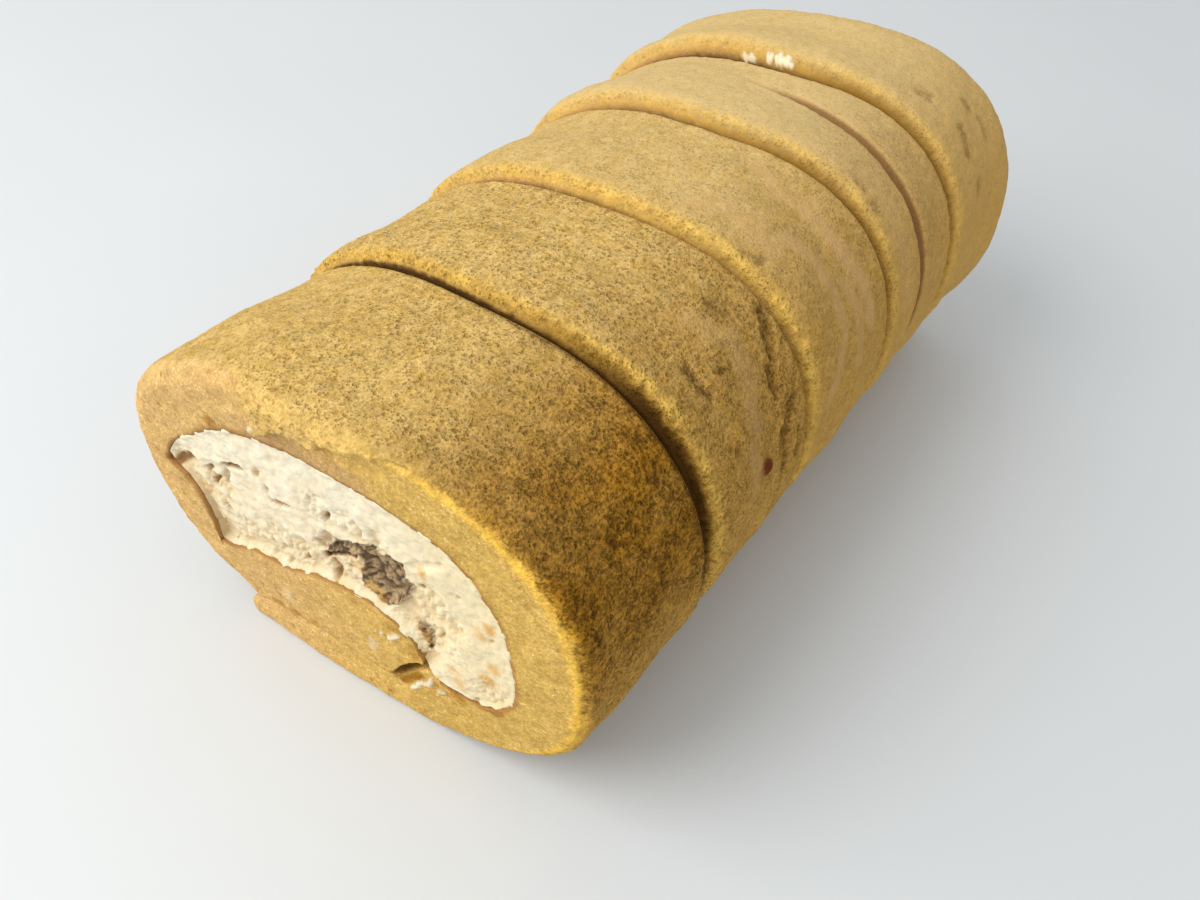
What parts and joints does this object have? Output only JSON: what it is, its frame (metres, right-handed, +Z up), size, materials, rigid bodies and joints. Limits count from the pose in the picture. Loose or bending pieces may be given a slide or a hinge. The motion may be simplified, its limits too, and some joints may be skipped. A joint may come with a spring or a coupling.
{
  "type": "swiss roll cake",
  "caption": "Swiss roll of plain sponge wound round a cream filling, cut into slices that still stand together as the whole roll, lying on its side.",
  "frame": {"origin": "middle of the roll's own box in plan, on the surface that it rests on", "axes": "+Z up; the roll lies along Y with its front cut face towards -Y; +X is to the right of that face"},
  "size_m": [0.0888, 0.145, 0.0647],
  "materials": {
    "sponge": "matte",
    "cream": "satin"
  },
  "bodies": {
    "root": {"sponge_1": "sponge", "cream_1": "cream", "sponge_2": "sponge", "cream_2": "cream", "sponge_3": "sponge", "cream_3": "cream", "sponge_4": "sponge", "cream_4": "cream", "sponge_5": "sponge", "cream_5": "cream"}
  },
  "joints": []
}
